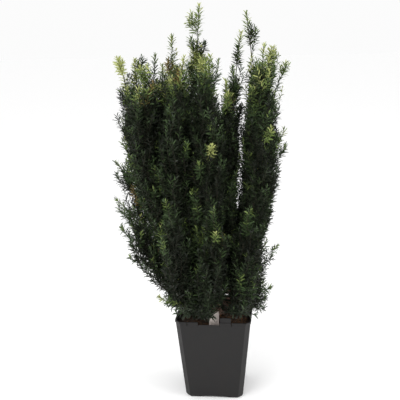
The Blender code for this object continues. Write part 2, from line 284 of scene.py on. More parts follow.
# Dark damp peat with paler fibres and crumbs
SOIL = MottledFinish("Peat potting soil", ("#231a13", "#54402f"),
                     Mottle(4 * MM, detail=6.0, start=0.38, end=0.72, fine=0.7), roughness=0.95, ior=1.4,
                     relief=1.5 * MM, strength=0.9)
# Extruded label stock: smooth and a little weathered, and blank
LABEL_PLASTIC = MottledFinish("Blank polystyrene label", ("#a99d97", "#c9bdb6"),
                              Mottle(9 * MM, detail=4.0, start=0.4, end=0.6), roughness=0.45, ior=1.55)


def mesh_object(name: str, points: Array, faces: Array | list, material: Material, slot: str,
                smooth: bool = True) -> Object:
    """Make a piece from arrays and let it ride on the plant.

    Args:
        name: the piece's name.
        points: vertices, n by 3.
        faces: vertex indices, one row or list per face.
        material: the piece's finish.
        slot: not used.
        smooth: whether its faces are shaded smooth.

    Returns:
        The new object.
    """
    mesh = bpy.data.meshes.new(name)
    if isinstance(faces, np.ndarray):
        count, sides = faces.shape
        mesh.vertices.add(len(points))
        mesh.vertices.foreach_set("co", np.ascontiguousarray(points, dtype=np.float32).ravel())
        mesh.loops.add(count * sides)
        mesh.loops.foreach_set("vertex_index", faces.astype(np.int32).ravel())
        mesh.polygons.add(count)
        mesh.polygons.foreach_set("loop_start", np.arange(0, count * sides, sides, dtype=np.int32))
        mesh.update(calc_edges=True)
    else:
        mesh.from_pydata(points.tolist(), [], faces)
    mesh.polygons.foreach_set("use_smooth", np.full(len(mesh.polygons), smooth))
    mesh.materials.append(material)
    mesh.update()
    piece = bpy.data.objects.new(name, mesh)
    bpy.context.scene.collection.objects.link(piece)
    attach(piece, "root")
    LOG.info("%s: %d faces", name, len(mesh.polygons))
    return piece


def dress_solid(node: str, material: Material) -> None:
    """Give one of the frame's solids a finish.

    Args:
        node: the solid's name.
        material: its finish.
    """
    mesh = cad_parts[node].data
    mesh.materials.clear()
    mesh.materials.append(material)
    LOG.info("%s: %d faces", node, len(mesh.polygons))


def node_points(node: str) -> Array:
    """Read the separate points of one of the frame's solids.

    Args:
        node: the solid's name.

    Returns:
        Its points, sorted and rounded to a hundredth of a millimetre.
    """
    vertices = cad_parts[node].data.vertices
    points = np.empty(len(vertices) * 3)
    vertices.foreach_get("co", points)
    return np.unique(np.round(points.reshape(-1, 3), 5), axis=0)


def unit(vectors: Array) -> Array:
    """Vectors scaled to length one."""
    return vectors / np.maximum(np.linalg.norm(vectors, axis=-1, keepdims=True), TINY)


def frames_along(paths: Array) -> tuple[Array, Array, Array]:
    """Find the directions along and across many paths.

    The tangent is the central difference. The side is the cross product of the tangent and a fixed slanting
    direction, and the third is their cross product.

    Args:
        paths: points, path by step by 3.

    Returns:
        Tangents, sides and third directions of the same shape.
    """
    tangent = unit(np.gradient(paths, axis=1))
    side = unit(np.cross(tangent, SLANT))
    return tangent, side, np.cross(tangent, side)


def swing_out(paths: Array, distance: Array, bearing: Array) -> None:
    """Move every step of many paths sideways.

    Args:
        paths: points, path by step by 3, changed in place.
        distance: how far each step moves, path by step.
        bearing: the direction of each path's move in radians.
    """
    paths[..., 0] += distance * np.cos(bearing)[:, None]
    paths[..., 1] += distance * np.sin(bearing)[:, None]


def tubes(paths: Array, radii: Array, sides: int) -> tuple[Array, Array]:
    """Carry a round profile along many paths.

    A point at step i and angle a is path(i) + radius(i) (side cos a + third sin a). Faces close each end.

    Args:
        paths: points, path by step by 3.
        radii: radii, path by step.
        sides: points around each ring.

    Returns:
        Vertices and three-sided faces.
    """
    count, steps, _ = paths.shape
    _, side, third = frames_along(paths)
    angle = np.arange(sides) * 2 * pi / sides
    ring = side[:, :, None] * np.cos(angle)[:, None] + third[:, :, None] * np.sin(angle)[:, None]
    points = paths[:, :, None] + ring * radii[:, :, None, None]
    index = np.arange(count * steps * sides).reshape(count, steps, sides)
    after = np.roll(index, -1, axis=2)
    walls = np.stack([index[:, :-1], after[:, :-1], after[:, 1:], index[:, 1:]], axis=-1).reshape(-1, 4)
    walls = np.concatenate([walls[:, [0, 1, 2]], walls[:, [0, 2, 3]]])
    fan = np.arange(1, sides - 1)
    ends = []
    for step, near, far in ((0, fan + 1, fan), (-1, fan, fan + 1)):
        hub = np.repeat(index[:, step, :1], sides - 2, axis=1)
        ends.append(np.stack([hub, index[:, step, near], index[:, step, far]], axis=-1).reshape(-1, 3))
    return points.reshape(-1, 3), np.concatenate([walls, *ends])


@dataclass
class SlicedSolid:
    """A lofted solid of the frame, read as centres and reaches at its levels."""

    node: str
    level_digits: int = 4
    level_slack: float = 1e-4
    least_points: int = 6
    bearing_steps: int = 25
    heights: Array = field(init=False)
    centres: Array = field(init=False)
    reaches: Array = field(init=False)
    bearings: Array = field(init=False)

    def __post_init__(self) -> None:
        """Sort the solid's points into level rings, and measure each ring about its mean point."""
        points = node_points(self.node)
        levels = np.unique(np.round(points[:, 2], self.level_digits))
        rings = [points[np.abs(points[:, 2] - level) < self.level_slack] for level in levels]
        rings = [(level, ring) for level, ring in zip(levels, rings) if len(ring) >= self.least_points]
        self.bearings = np.linspace(-pi, pi, self.bearing_steps)
        self.heights = np.array([level for level, _ in rings])
        self.centres = np.array([ring[:, :2].mean(axis=0) for _, ring in rings])
        reaches = []
        for (_, ring), centre in zip(rings, self.centres):
            offset = ring[:, :2] - centre
            bearing = np.arctan2(offset[:, 1], offset[:, 0])
            order = np.argsort(bearing)
            bearing, length = bearing[order], np.hypot(*offset[order].T)
            reaches.append(np.interp(self.bearings, bearing, length, period=2 * pi))
        self.reaches = np.array(reaches)

    @property
    def foot(self) -> float:
        """The height of its lowest level."""
        return float(self.heights[0])

    @property
    def tip(self) -> float:
        """The height of its highest level."""
        return float(self.heights[-1])

    def centre(self, height: Array) -> Array:
        """Follow its centre line, linear between the levels.

        Args:
            height: heights in metres.

        Returns:
            Points of the centre line.
        """
        x = np.interp(height, self.heights, self.centres[:, 0])
        y = np.interp(height, self.heights, self.centres[:, 1])
        return np.stack([x, y, np.broadcast_to(height, x.shape)], axis=-1)

    def mean_reach(self, height: Array) -> Array:
        """Its mean reach over all bearings at some heights."""
        return np.interp(height, self.heights, self.reaches.mean(axis=1))

    def reach(self, height: Array, bearing: Array) -> Array:
        """Find how far it reaches at some heights and bearings.

        The reach is linear between the levels and between their bearings.

        Args:
            height: heights in metres.
            bearing: bearings in radians.

        Returns:
            Distances from the centre line.
        """
        level = np.interp(height, self.heights, np.arange(len(self.heights)))
        column = (np.mod(bearing + pi, 2 * pi)) / (2 * pi) * (len(self.bearings) - 1)
        low = np.minimum(level.astype(int), len(self.heights) - 2)
        left = np.minimum(column.astype(int), len(self.bearings) - 2)
        up, right = level - low, column - left
        r = self.reaches
        return ((r[low, left] * (1 - right) + r[low, left + 1] * right) * (1 - up)
                + (r[low + 1, left] * (1 - right) + r[low + 1, left + 1] * right) * up)


@dataclass
class Sprays:
    """Clothed shoots gathered from every mass."""

    steps: int = 7
    batches: list[tuple[Array, ...]] = field(default_factory=list)

    def add(self, paths: Array, bare: float, tones: Array, sizes: Array, density: float = 1.0) -> None:
        """Keep more shoots.

        Args:
            paths: points, shoot by step by 3.
            bare: share of each shoot that carries no needles, from its foot.
            tones: rank of each shoot's tone.
            sizes: needle length of each shoot against a full needle.
            density: how closely the needles stand, against a side shoot.
        """
        self.batches.append((paths, np.full(len(paths), bare), tones, sizes, np.full(len(paths), density)))

    def stacked(self) -> list[Array]:
        """All shoots as five arrays: paths, bare shares, tones, sizes and densities."""
        return [np.concatenate(part) for part in zip(*self.batches)]


@dataclass(frozen=True)
class ShootHabit:
    """How shoots leave a mass's limb. A span is the least and the greatest value of an even spread."""

    per_area: float = 1150.0  # to a square metre of the mass's surface
    lowest_end: float = 30 * MM  # over the mass's foot
    spread: float = 0.9  # under one, it draws the ends towards the tip
    slim: float = 19 * MM  # mean reach under which the upper half bears only its leader
    thinning: float = 0.15  # height under the tip over which the shoots thin out
    least_kept: float = 0.1  # share kept at the tip
    turn_jitter: float = 0.25
    inner_share: float = 0.28  # share of the shoots that end inside the mass
    inner_depth: Span = (0.3, 0.7)
    outer_depth: Span = (0.8, 1.02)
    margin: float = 6 * MM  # room for the needles inside the surface
    least_reach: float = 3 * MM
    rise: float = 1.9  # against the reach
    base_rise: float = 25 * MM
    rise_limits: Span = (40 * MM, 150 * MM)
    rise_spread: Span = (0.85, 1.2)
    foot_gap: float = 2 * MM
    swing_power: float = 0.9
    bare: float = 0.35  # share without needles, from the foot
    sizes: Span = (0.85, 1.1)  # needle length against a full one


@dataclass(frozen=True)
class TwigHabit:
    """How twigs leave a shoot."""

    per_shoot: int = 3
    length: float = 52 * MM
    spread: Span = (0.55, 1.25)
    lean: float = 0.42  # sideways share of the length
    slack: float = 4 * MM  # how far outside its mass a twig may end
    tip_gap: float = 8 * MM  # room under the mass's tip
    shifts: tuple[int, ...] = (-1, 0, 0, 1)  # changes of tone against the shoot, dealt out evenly
    bare: float = 0.05
    sizes: Span = (0.8, 1.0)


@dataclass(frozen=True)
class LeaderHabit:
    """How leaders stand out of the crown."""

    length: float = 95 * MM  # clothed length of a mass's own limb
    tip_gap: float = 8 * MM  # room under a tip for its last needles
    density: float = 1.9  # needles against those of a side shoot
    size: float = 0.95
    bare: float = 0.1
    foot_gap: float = 5 * MM  # from the mass's foot to the lowest fork
    top_gap: float = 20 * MM  # from the highest fork to the mass's tip
    twigs: int = 4
    twig_length: float = 24 * MM
    twig_lean: Span = (0.3, 0.5)
    twig_size: float = 0.8
    pale: tuple[str, ...] = ("left_edge", "left_outer", "left_front", "right_back")  # with a pale leader
    green: tuple[str, ...] = ("left_back", "right_edge")  # with a green one, like the low masses


@dataclass(frozen=True)
class SkirtHabit:
    """How short shoots leave the boughs over the soil and the rim."""

    per_bough: int = 24
    start: float = 0.3  # share of the bough where they begin
    turn_jitter: float = 0.7
    reach: Span = (15 * MM, 52 * MM)
    rise: Span = (-4 * MM, 75 * MM)
    light: Span = (0.5, 0.3)  # mean and spread, which deal out the tones
    tone_steps: tuple[float, ...] = (0.35, 0.95, 1.25)  # light at which the tone goes up by one
    bare: float = 0.15
    sizes: Span = (0.85, 1.05)


@dataclass(frozen=True)
class ToneRule:
    """How painted shade and painted light deal out the tones of the shoots."""

    crest_start: float = 0.80  # height where the crown starts to turn lighter, by fresher growth and painted light
    crest_rise: float = 0.18  # height over which it does
    crest_power: float = 1.5
    depth_light: float = 0.44  # painted light at a mass's surface, less inside it as painted shade
    crest_light: float = 0.55  # light at the crown's top
    jitter: float = 0.11
    steps: tuple[float, ...] = (0.36, 0.56, 0.70, 0.84)  # light at which the tone goes up by one
    straw: float = 0.002  # chance of a straw-coloured shoot
    crest_straw: float = 0.05  # added chance at the crown's top


@dataclass(frozen=True)
class NeedleHabit:
    """A needle's size and stand."""

    length: float = 20.0 * MM
    width: float = 3.2 * MM
    width_floor: float = 0.55  # share of the width that stays when a needle is shorter
    spacing: float = 2.45 * MM  # along a side shoot
    least: int = 4  # fewest needles on a shoot
    shoot_turn: float = 1.7  # turn of the first needle from one shoot to the next
    turn_jitter: float = 0.2
    lean: float = radians(66)  # angle from the shoot's direction, at its foot
    lean_drop: float = radians(32)  # how much less it is at the tip
    lean_power: int = 4
    lean_jitter: float = 0.14
    twist: float = 0.35  # how far a needle's flat side is turned at random
    sizes: Span = (0.8, 1.12)
    tip_shrink: float = 0.35  # how much shorter the needles are at the tip
    shrink_power: int = 6
    arch: float = 0.10  # height of a needle's bow against its length
    light_start: float = 0.72  # share of a shoot where its lighter end begins
    light_share: float = 0.55  # share of the needles there that are one tone lighter


@dataclass
class Crown:
    """The foliage: a limb, rising shoots and twigs in each mass, and the leaders that stand out of it."""

    rng: Random
    shoot: ShootHabit = ShootHabit()
    twig: TwigHabit = TwigHabit()
    leader: LeaderHabit = LeaderHabit()
    skirt: SkirtHabit = SkirtHabit()
    tone_rule: ToneRule = ToneRule()
    needle: NeedleHabit = NeedleHabit()
    wood_radii: Span = (0.75 * MM, 0.3375 * MM)
    wood_sides: int = 3
    limb_radii: Span = (2.6 * MM, 0.9 * MM)
    limb_sides: int = 8
    limb_steps: int = 16
    limb_gap: float = 4 * MM
    sprays: Sprays = field(default_factory=Sprays)
    limbs: list[Array] = field(default_factory=list)

    def grow_mass(self, name: str) -> None:
        """Grow one mass inside its solid.

        A shoot leaves the limb low down and swings out while it rises: its distance from the limb is
        reach sin(t pi/2) to a power near one, so that it stands almost upright at its end, on the mass's
        surface.

        Args:
            name: the mass's name.
        """
        solid, habit = SlicedSolid(f"foliage_{name}"), self.shoot
        height = solid.tip - solid.foot
        self.limbs.append(solid.centre(np.linspace(solid.foot, solid.tip - self.limb_gap, self.limb_steps)))
        area = np.trapz(solid.reaches.mean(axis=1) * 2 * pi, solid.heights)
        count = int(area * habit.per_area)
        share = (np.arange(count) + self.rng.random(count)) / count
        tops = solid.foot + habit.lowest_end + (height - habit.lowest_end) * share ** habit.spread
        tops = tops[(solid.mean_reach(tops) > habit.slim) | (tops < solid.foot + height / 2)]
        kept = np.clip((solid.tip - tops) / habit.thinning, habit.least_kept, 1.0)
        tops = tops[self.rng.random(len(tops)) < kept]
        count = len(tops)
        bearing = np.arange(count) * GOLDEN_ANGLE + self.rng.normal(0, habit.turn_jitter, count)
        surface = solid.reach(tops, bearing)
        inner = self.rng.random(count) < habit.inner_share
        inner_depth = self.rng.uniform(*habit.inner_depth, count)
        depth = np.where(inner, inner_depth, self.rng.uniform(*habit.outer_depth, count))
        reach = np.maximum(surface - habit.margin, habit.least_reach) * depth
        rise = np.clip(reach * habit.rise + habit.base_rise, *habit.rise_limits)
        rise = rise * self.rng.uniform(*habit.rise_spread, count)
        starts = np.maximum(tops - rise, solid.foot + habit.foot_gap)
        t = np.linspace(0, 1, self.sprays.steps)
        paths = solid.centre(starts[:, None] + (tops - starts)[:, None] * t)
        swing_out(paths, reach[:, None] * np.sin(t * QUARTER) ** habit.swing_power, bearing)
        tones = self.pick_tones(depth, tops)
        self.sprays.add(paths, habit.bare, tones, self.rng.uniform(*habit.sizes, count))
        self.grow_twigs(solid, paths, tones)
        self.clothe_limb(solid, name)

    def pick_tones(self, depth: Array, tops: Array) -> Array:
        """Deal a tone to each shoot: darkest deep inside as painted shade, lighter at the surface, and
        lightest near the crown's top, for fresh growth and painted light.

        Args:
            depth: each shoot's share of the way to the surface.
            tops: height of each shoot's end.

        Returns:
            Ranks of tones.
        """
        rule, count = self.tone_rule, len(tops)
        crest = np.clip((tops - rule.crest_start) / rule.crest_rise, 0, 1) ** rule.crest_power
        # painted shade and light: shoots deeper inside a mass get darker tones, those near the crown's top
        # lighter ones
        light = rule.depth_light * depth + rule.crest_light * crest + self.rng.normal(0, rule.jitter, count)
        straw = self.rng.random(count) < rule.straw + rule.crest_straw * crest
        return np.where(straw, Tone.STRAW.rank, np.digitize(light, rule.steps))

    def grow_twigs(self, solid: SlicedSolid, shoots: Array, tones: Array) -> None:
        """Grow twigs that leave each shoot sideways and turn up beside it.

        A twig's offset from its shoot is length (out lean sin(t pi/2) + up t).

        Args:
            solid: the mass's solid, which bounds the twigs.
            shoots: the shoots' paths.
            tones: ranks of the shoots' tones.
        """
        habit = self.twig
        parents = np.repeat(np.arange(len(shoots)), habit.per_shoot)
        count = len(parents)
        base = shoots[parents, self.rng.integers(2, self.sprays.steps - 1, count)]
        bearing = self.rng.uniform(-pi, pi, count)
        length = habit.length * self.rng.uniform(*habit.spread, count)
        t = np.linspace(0, 1, self.sprays.steps)
        paths = np.repeat(base[:, None], self.sprays.steps, axis=1)
        swing_out(paths, habit.lean * length[:, None] * np.sin(t * QUARTER), bearing)
        paths[..., 2] += length[:, None] * t
        ends = paths[:, -1]
        level = np.minimum(ends[:, 2], solid.tip)
        offset = ends[:, :2] - solid.centre(level)[:, :2]
        limit = solid.reach(level, np.arctan2(offset[:, 1], offset[:, 0]))
        kept = (np.hypot(*offset.T) < limit + habit.slack) & (ends[:, 2] < solid.tip - habit.tip_gap)
        parent_tones = tones[parents]
        shifted = np.clip(parent_tones + self.rng.choice(habit.shifts, count), Tone.DEEP_SHADE.rank, Tone.PALE.rank)
        twig_tones = np.where(parent_tones == Tone.STRAW.rank, Tone.STRAW.rank, shifted)
        self.sprays.add(paths[kept], habit.bare, twig_tones[kept], self.rng.uniform(*habit.sizes, kept.sum()))

    def clothe_limb(self, solid: SlicedSolid, name: str) -> None:
        """Clothe the top of a mass's own limb as a bottle brush.

        Args:
            solid: the mass's solid.
            name: the mass's name.
        """
        habit = self.leader
        heights = np.linspace(solid.tip - habit.length, solid.tip - habit.tip_gap, self.sprays.steps)
        tone = Tone.PALE if name in habit.pale else Tone.FRESH
        tone = Tone.GREEN if name.startswith("low") or name in habit.green else tone
        self.sprays.add(solid.centre(heights)[None], 0.0, np.full(1, tone.rank), np.ones(1), habit.density)

    def grow_leader(self, mass: str, tip: Point, run: float, tone: Tone) -> None:
        """Grow a named leader or side shoot with a few short twigs, from a mass's limb to its tip.

        The path leans out early and then rises: across the gap it follows sin(t pi/2).

        Args:
            mass: the mass whose limb carries it.
            tip: its end in millimetres.
            run: how far below its tip it leaves the limb, in millimetres.
            tone: its needles' tone.
        """
        solid, habit = SlicedSolid(f"foliage_{mass}"), self.leader
        end = np.array(tip) * MM
        fork = np.clip(end[2] - run * MM, solid.foot + habit.foot_gap, solid.tip - habit.top_gap)
        start = solid.centre(np.array(fork))
        t = np.linspace(0, 1, self.sprays.steps)
        out = np.sin(t * QUARTER)
        path = start + (end - start) * np.column_stack([out, out, t])
        self.sprays.add(path[None], habit.bare, np.full(1, tone.rank), np.full(1, habit.size), habit.density)
        count = habit.twigs
        bearing = self.rng.uniform(-pi, pi) + np.arange(count) * GOLDEN_ANGLE
        base = path[self.rng.integers(1, self.sprays.steps - 2, count)]
        twigs = np.repeat(base[:, None], self.sprays.steps, axis=1)
        lean = habit.twig_length * self.rng.uniform(*habit.twig_lean, count)
        swing_out(twigs, lean[:, None] * out, bearing)
        twigs[..., 2] += np.minimum(habit.twig_length, end[2] - habit.tip_gap - base[:, 2])[:, None] * t
        self.sprays.add(twigs, 0.0, np.full(count, tone.rank), np.full(count, habit.twig_size))

    def grow_skirt(self, boughs: Array) -> None:
        """Grow short shoots from the outer part of every bough, over the soil and the pot's rim.

        A shoot runs out by reach sin(t pi/2) and up by rise t squared.

        Args:
            boughs: the boughs' paths.
        """
        habit = self.skirt
        parents = np.repeat(np.arange(len(boughs)), habit.per_bough)
        count = len(parents)
        steps = boughs.shape[1]
        base = boughs[parents, self.rng.integers(int(habit.start * steps), steps, count)]
        bearing = np.arctan2(base[:, 1], base[:, 0]) + self.rng.normal(0, habit.turn_jitter, count)
        reach = self.rng.uniform(*habit.reach, count)
        rise = self.rng.uniform(*habit.rise, count)
        t = np.linspace(0, 1, self.sprays.steps)
        paths = np.repeat(base[:, None], self.sprays.steps, axis=1)
        swing_out(paths, reach[:, None] * np.sin(t * QUARTER), bearing)
        paths[..., 2] += rise[:, None] * t ** 2
        tones = np.digitize(self.rng.normal(*habit.light, count), habit.tone_steps)
        self.sprays.add(paths, habit.bare, tones, self.rng.uniform(*habit.sizes, count))

    def stand_needles(self) -> dict[Tone, Array]:
        """Stand needles along every shoot.

        A needle leaves at an angle from the shoot's direction, the golden angle after the last one. It
        follows its outline and arches outwards by a parabola.

        Returns:
            For each tone, needle outlines as needle by 6 by 3.
        """
        habit = self.needle
        paths, bare, tones, sizes, density = self.sprays.stacked()
        tangents, sides, thirds = frames_along(paths)
        length = np.linalg.norm(np.diff(paths, axis=1), axis=2).sum(axis=1)
        counts = np.maximum((length * (1 - bare) * density / habit.spacing).astype(int), habit.least)
        owner = np.repeat(np.arange(len(paths)), counts)
        total = len(owner)
        number = np.arange(total) - np.repeat(np.cumsum(counts) - counts, counts)
        t = bare[owner] + (1 - bare[owner]) * (number + self.rng.random(total)) / counts[owner]
        place = t * (self.sprays.steps - 1)
        low = np.minimum(place.astype(int), self.sprays.steps - 2)
        part = (place - low)[:, None]
        base = paths[owner, low] * (1 - part) + paths[owner, low + 1] * part
        along = unit(tangents[owner, low] * (1 - part) + tangents[owner, low + 1] * part)
        angle = number * GOLDEN_ANGLE + owner * habit.shoot_turn
        angle += self.rng.normal(0, habit.turn_jitter, total)
        outward = sides[owner, low] * np.cos(angle)[:, None] + thirds[owner, low] * np.sin(angle)[:, None]
        outward = unit(outward - along * (outward * along).sum(axis=1, keepdims=True))
        lean = habit.lean - habit.lean_drop * t ** habit.lean_power
        lean = (lean + self.rng.normal(0, habit.lean_jitter, total))[:, None]
        forward = along * np.cos(lean) + outward * np.sin(lean)
        across = np.cross(along, outward)
        across = unit(across + habit.twist * self.rng.normal(0, 1, across.shape))
        across = unit(across - forward * (across * forward).sum(axis=1, keepdims=True))
        arch = np.cross(forward, across)
        size = sizes[owner] * self.rng.uniform(*habit.sizes, total)
        size = (size * (1 - habit.tip_shrink * t ** habit.shrink_power))[:, None]
        reach = habit.length * size
        width = habit.width * (habit.width_floor + (1 - habit.width_floor) * size)
        outline = [base + forward * reach * share + across * width * half
                   + arch * reach * habit.arch * 4 * share * (1 - share) for share, half in NEEDLE_OUTLINE]
        needles = np.stack(outline, axis=1)
        tone = tones[owner]
        lighter = (t > habit.light_start) & (tone >= Tone.OLD.rank) & (tone < Tone.PALE.rank)
        lighter &= self.rng.random(total) < habit.light_share
        tone = np.where(lighter, tone + 1, tone)
        return {kind: needles[tone == kind.rank] for kind in Tone}

    def dress(self) -> list[Object]:
        """Make the needle, twig and limb pieces.

        Returns:
            The pieces.
        """
        finishes = {tone: finish.material() for tone, finish in NEEDLE_FINISHES.items()}
        pieces = []
        for tone, needles in self.stand_needles().items():
            parts = -(-len(needles) * len(NEEDLE_FACES) // MAX_PIECE_TRIANGLES)
            for part, some in enumerate(np.array_split(needles, parts)):
                pieces.append(needle_piece(f"needles_{tone.value}_{part}", some, finishes[tone], "needles"))
        paths = self.sprays.stacked()[0]
        taper = np.linspace(*self.wood_radii, self.sprays.steps)
        points, faces = tubes(paths, np.tile(taper, (len(paths), 1)), self.wood_sides)
        twig = TWIG_BARK.material()
        for part, some in enumerate(np.array_split(faces, 2)):
            used, local = np.unique(some, return_inverse=True)
            pieces.append(mesh_object(f"twigs_{part}", points[used], local.reshape(some.shape), twig, "bark"))
        limbs = np.array(self.limbs)
        radii = np.tile(np.linspace(*self.limb_radii, self.limb_steps), (len(limbs), 1))
        pieces.append(mesh_object("limbs", *tubes(limbs, radii, self.limb_sides), twig, "bark"))
        return pieces


def needle_piece(name: str, needles: Array, material: Material, slot: str) -> Object:
    """Join needles into one piece.

    Args:
        name: the piece's name.
        needles: outlines, needle by 6 by 3.
        material: the needles' finish.
        slot: not used, only passed on.

    Returns:
        The piece.
    """
    faces = (np.arange(len(needles))[:, None, None] * len(NEEDLE_OUTLINE) + NEEDLE_FACES).reshape(-1, 3)
    return mesh_object(name, needles.reshape(-1, 3), faces, material, slot, smooth=False)


@dataclass
class Wood:
    """The stem and the boughs, with bark in relief."""

    rng: Random
    relief: float = 0.5 * MM
    flake_waves: tuple[Point, ...] = ((9, 60, 0), (17, -310, 1), (31, 900, 0))
    fine_flakes: float = 0.6
    stem_sides: int = 96
    stem_steps: int = 70
    head_radius: float = 27 * MM
    near_points: int = 8
    bough_sides: int = 12
    bough_steps: int = 40
    bough_radii: Span = (3.6 * MM, 2.6 * MM)
    knobs: float = 0.08
    straight: float = 4 * MM
    overlap: float = 1 * MM

    def build_stem(self) -> None:
        """Make the stem as a grid of height and bearing, closed at both ends.

        Its reach is the solid's reach less the flakes, which are waves around and up the stem: the product of
        two broad ones and a fine one.
        """
        solid = SlicedSolid("stem")
        heights = np.linspace(solid.foot, solid.tip, self.stem_steps)
        bearing = np.arange(self.stem_sides) * 2 * pi / self.stem_sides
        h, b = np.meshgrid(heights, bearing, indexing="ij")
        first, second, fine = (np.sin(b * turns + climb * h + shift)
                               for turns, climb, shift in self.flake_waves)
        flakes = first * second + self.fine_flakes * fine
        points = solid.centre(h)
        reach = solid.reach(h, b) + self.relief / 2 * (flakes - 1)
        points[..., 0] += reach * np.cos(b)
        points[..., 1] += reach * np.sin(b)
        index = np.arange(self.stem_steps * self.stem_sides).reshape(self.stem_steps, self.stem_sides)
        after = np.roll(index, -1, axis=1)
        faces = np.stack([index[:-1], after[:-1], after[1:], index[1:]], axis=-1).reshape(-1, 4).tolist()
        faces += [index[0, ::-1].tolist(), index[-1].tolist()]
        piece = mesh_object("stem_bark", points.reshape(-1, 3), faces, STEM_BARK.material(), "bark")
        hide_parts("stem")

    def route(self, name: str, head: Array) -> Array:
        """Find the centre line of a bough, from the stem's head to the foot of its mass.

        It leaves along its own direction and comes in upright, as a cubic curve between two short straights.

        Args:
            name: the mass's name.
            head: the centre of the stem's head.

        Returns:
            Points along it.
        """
        mass = SlicedSolid(f"foliage_{name}")
        end = mass.centre(np.array(mass.foot))
        points = node_points(f"bough_{name}")
        near = points[np.argsort(np.linalg.norm(points - head, axis=1))[:self.near_points]]
        outward = unit(near.mean(axis=0) - head)
        up = np.array([0, 0, 1])
        start = head + outward * (self.head_radius - self.overlap)
        leave, enter = start + outward * self.straight, end - up * self.straight
        pull = np.linalg.norm(enter - leave) / 3
        bend, below = leave + outward * pull, enter - up * pull
        t = np.linspace(0, 1, self.bough_steps - 2)[:, None]
        curve = (leave * (1 - t) ** 3 + bend * 3 * t * (1 - t) ** 2
                 + below * 3 * t ** 2 * (1 - t) + enter * t ** 3)
        return np.concatenate([[start], curve, [end + up * self.overlap]])

    def routes(self, names: list[str]) -> Array:
        """Find the centre lines of all boughs.

        Args:
            names: the masses' names.

        Returns:
            Points, bough by step by 3.
        """
        lower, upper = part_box("stem")
        head = np.array([(lower.x + upper.x) / 2, (lower.y + upper.y) / 2, upper.z - self.head_radius])
        return np.array([self.route(name, head) for name in names])

    def build_boughs(self, names: list[str], paths: Array) -> None:
        """Make every bough as one piece of tubes with knobbly bark.

        Args:
            names: the masses' names.
            paths: the boughs' centre lines.
        """
        taper = np.linspace(*self.bough_radii, self.bough_steps)
        knobs = 1 + self.knobs * self.rng.normal(0, 1, paths.shape[:2])
        points, faces = tubes(paths, taper * knobs, self.bough_sides)
        piece = mesh_object("bough_bark", points, faces, STEM_BARK.material(), "bark")
        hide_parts(*(f"bough_{name}" for name in names))


@dataclass
class Container:
    """The square pot and its blank label, which keep their solids."""

    finishes: tuple[tuple[str, MottledFinish], ...] = (("pot", POT_PLASTIC), ("plant_label", LABEL_PLASTIC))

    def build(self) -> None:
        """Dress both."""
        for node, finish in self.finishes:
            dress_solid(node, finish.material())


@dataclass
class PottedSoil:
    """The soil's crumbs and fallen needles on top of the root ball."""

    rng: Random
    crumbs: int = 2600
    crumb_size: float = 3.2 * MM
    crumb_spread: Span = (-0.35, 0.45)  # mean and spread of the size's logarithm
    dents: Span = (0.5, 1.0)  # reach of a crumb's corners against its size
    crumb_turn: tuple[Point, ...] = ((0.8, 0.6, 0), (-0.6, 0.8, 0), (0, 0, 0.8))  # off the axes and flatter
    cover: float = 0.088 / 0.2177  # half of the strewn square against the root ball's width
    sunk: float = 4 * MM  # from the root ball's top to the crumbs' level
    swell: float = 4 * MM  # height of the mound in the middle
    fallen: int = 500  # number of fallen needles
    fallen_cover: float = 0.95  # against the crumbs' square
    fallen_rise: float = 4.5 * MM  # over the crumbs' level
    fallen_length: float = 15 * MM
    fallen_width: float = 2 * MM
    tilt: float = 0.15  # spread of their slope

    @property
    def half(self) -> float:
        """Half of the strewn square."""
        lower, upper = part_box("root_ball")
        return self.cover * (upper.x - lower.x)

    @property
    def level(self) -> float:
        """The height of the strewn square's edge."""
        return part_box("root_ball")[1].z - self.sunk

    def build(self) -> None:
        """Dress the root ball and strew crumbs and fallen needles over its top."""
        soil = SOIL.material()
        dress_solid("root_ball", soil)
        self.strew_crumbs(soil)
        self.strew_needles()

    def strew_crumbs(self, soil: Material) -> None:
        """Strew the crumbs, each a ball of eight uneven faces, over a low mound.

        Args:
            soil: the crumbs' finish.
        """
        spread = self.rng.uniform(-self.half, self.half, (self.crumbs, 2))
        turn = np.array([[cos(POT_TURN), sin(POT_TURN)], [-sin(POT_TURN), cos(POT_TURN)]])
        mound = self.swell * (1 - np.clip(np.abs(spread).max(axis=1) / self.half, 0, 1))
        centre = np.column_stack([spread @ turn, self.level + mound])
        ball = np.array([(1, 0, 0), (0, 1, 0), (-1, 0, 0), (0, -1, 0), (0, 0, 1), (0, 0, -1)], dtype=float)
        size = self.crumb_size * self.rng.lognormal(*self.crumb_spread, self.crumbs)
        dents = self.rng.uniform(*self.dents, (self.crumbs, len(ball), 1))
        shape = ball * dents * size[:, None, None] @ np.array(self.crumb_turn)
        corners = np.array([(0, 1, 4), (1, 2, 4), (2, 3, 4), (3, 0, 4),
                            (1, 0, 5), (2, 1, 5), (3, 2, 5), (0, 3, 5)])
        faces = (np.arange(self.crumbs)[:, None, None] * len(ball) + corners).reshape(-1, 3)
        points = (centre[:, None] + shape).reshape(-1, 3)
        mesh_object("soil_crumbs", points, faces, soil, "soil", smooth=False)

    def strew_needles(self) -> None:
        """Strew the fallen needles, which lie almost flat."""
        count, half = self.fallen, self.half * self.fallen_cover
        bearing = self.rng.uniform(-pi, pi, count)
        along = np.column_stack([np.cos(bearing), np.sin(bearing), self.rng.normal(0, self.tilt, count)])
        across = np.column_stack([-np.sin(bearing), np.cos(bearing), np.zeros(count)])
        spot = self.rng.uniform(-half, half, (count, 2))
        base = np.column_stack([spot, np.full(count, self.level + self.fallen_rise)])
        outline = [base + along * share * self.fallen_length + across * side * self.fallen_width
                   for share, side in DRY_OUTLINE]
        needle_piece("fallen_needles", np.stack(outline, axis=1), DRY_NEEDLE.material(), "soil")


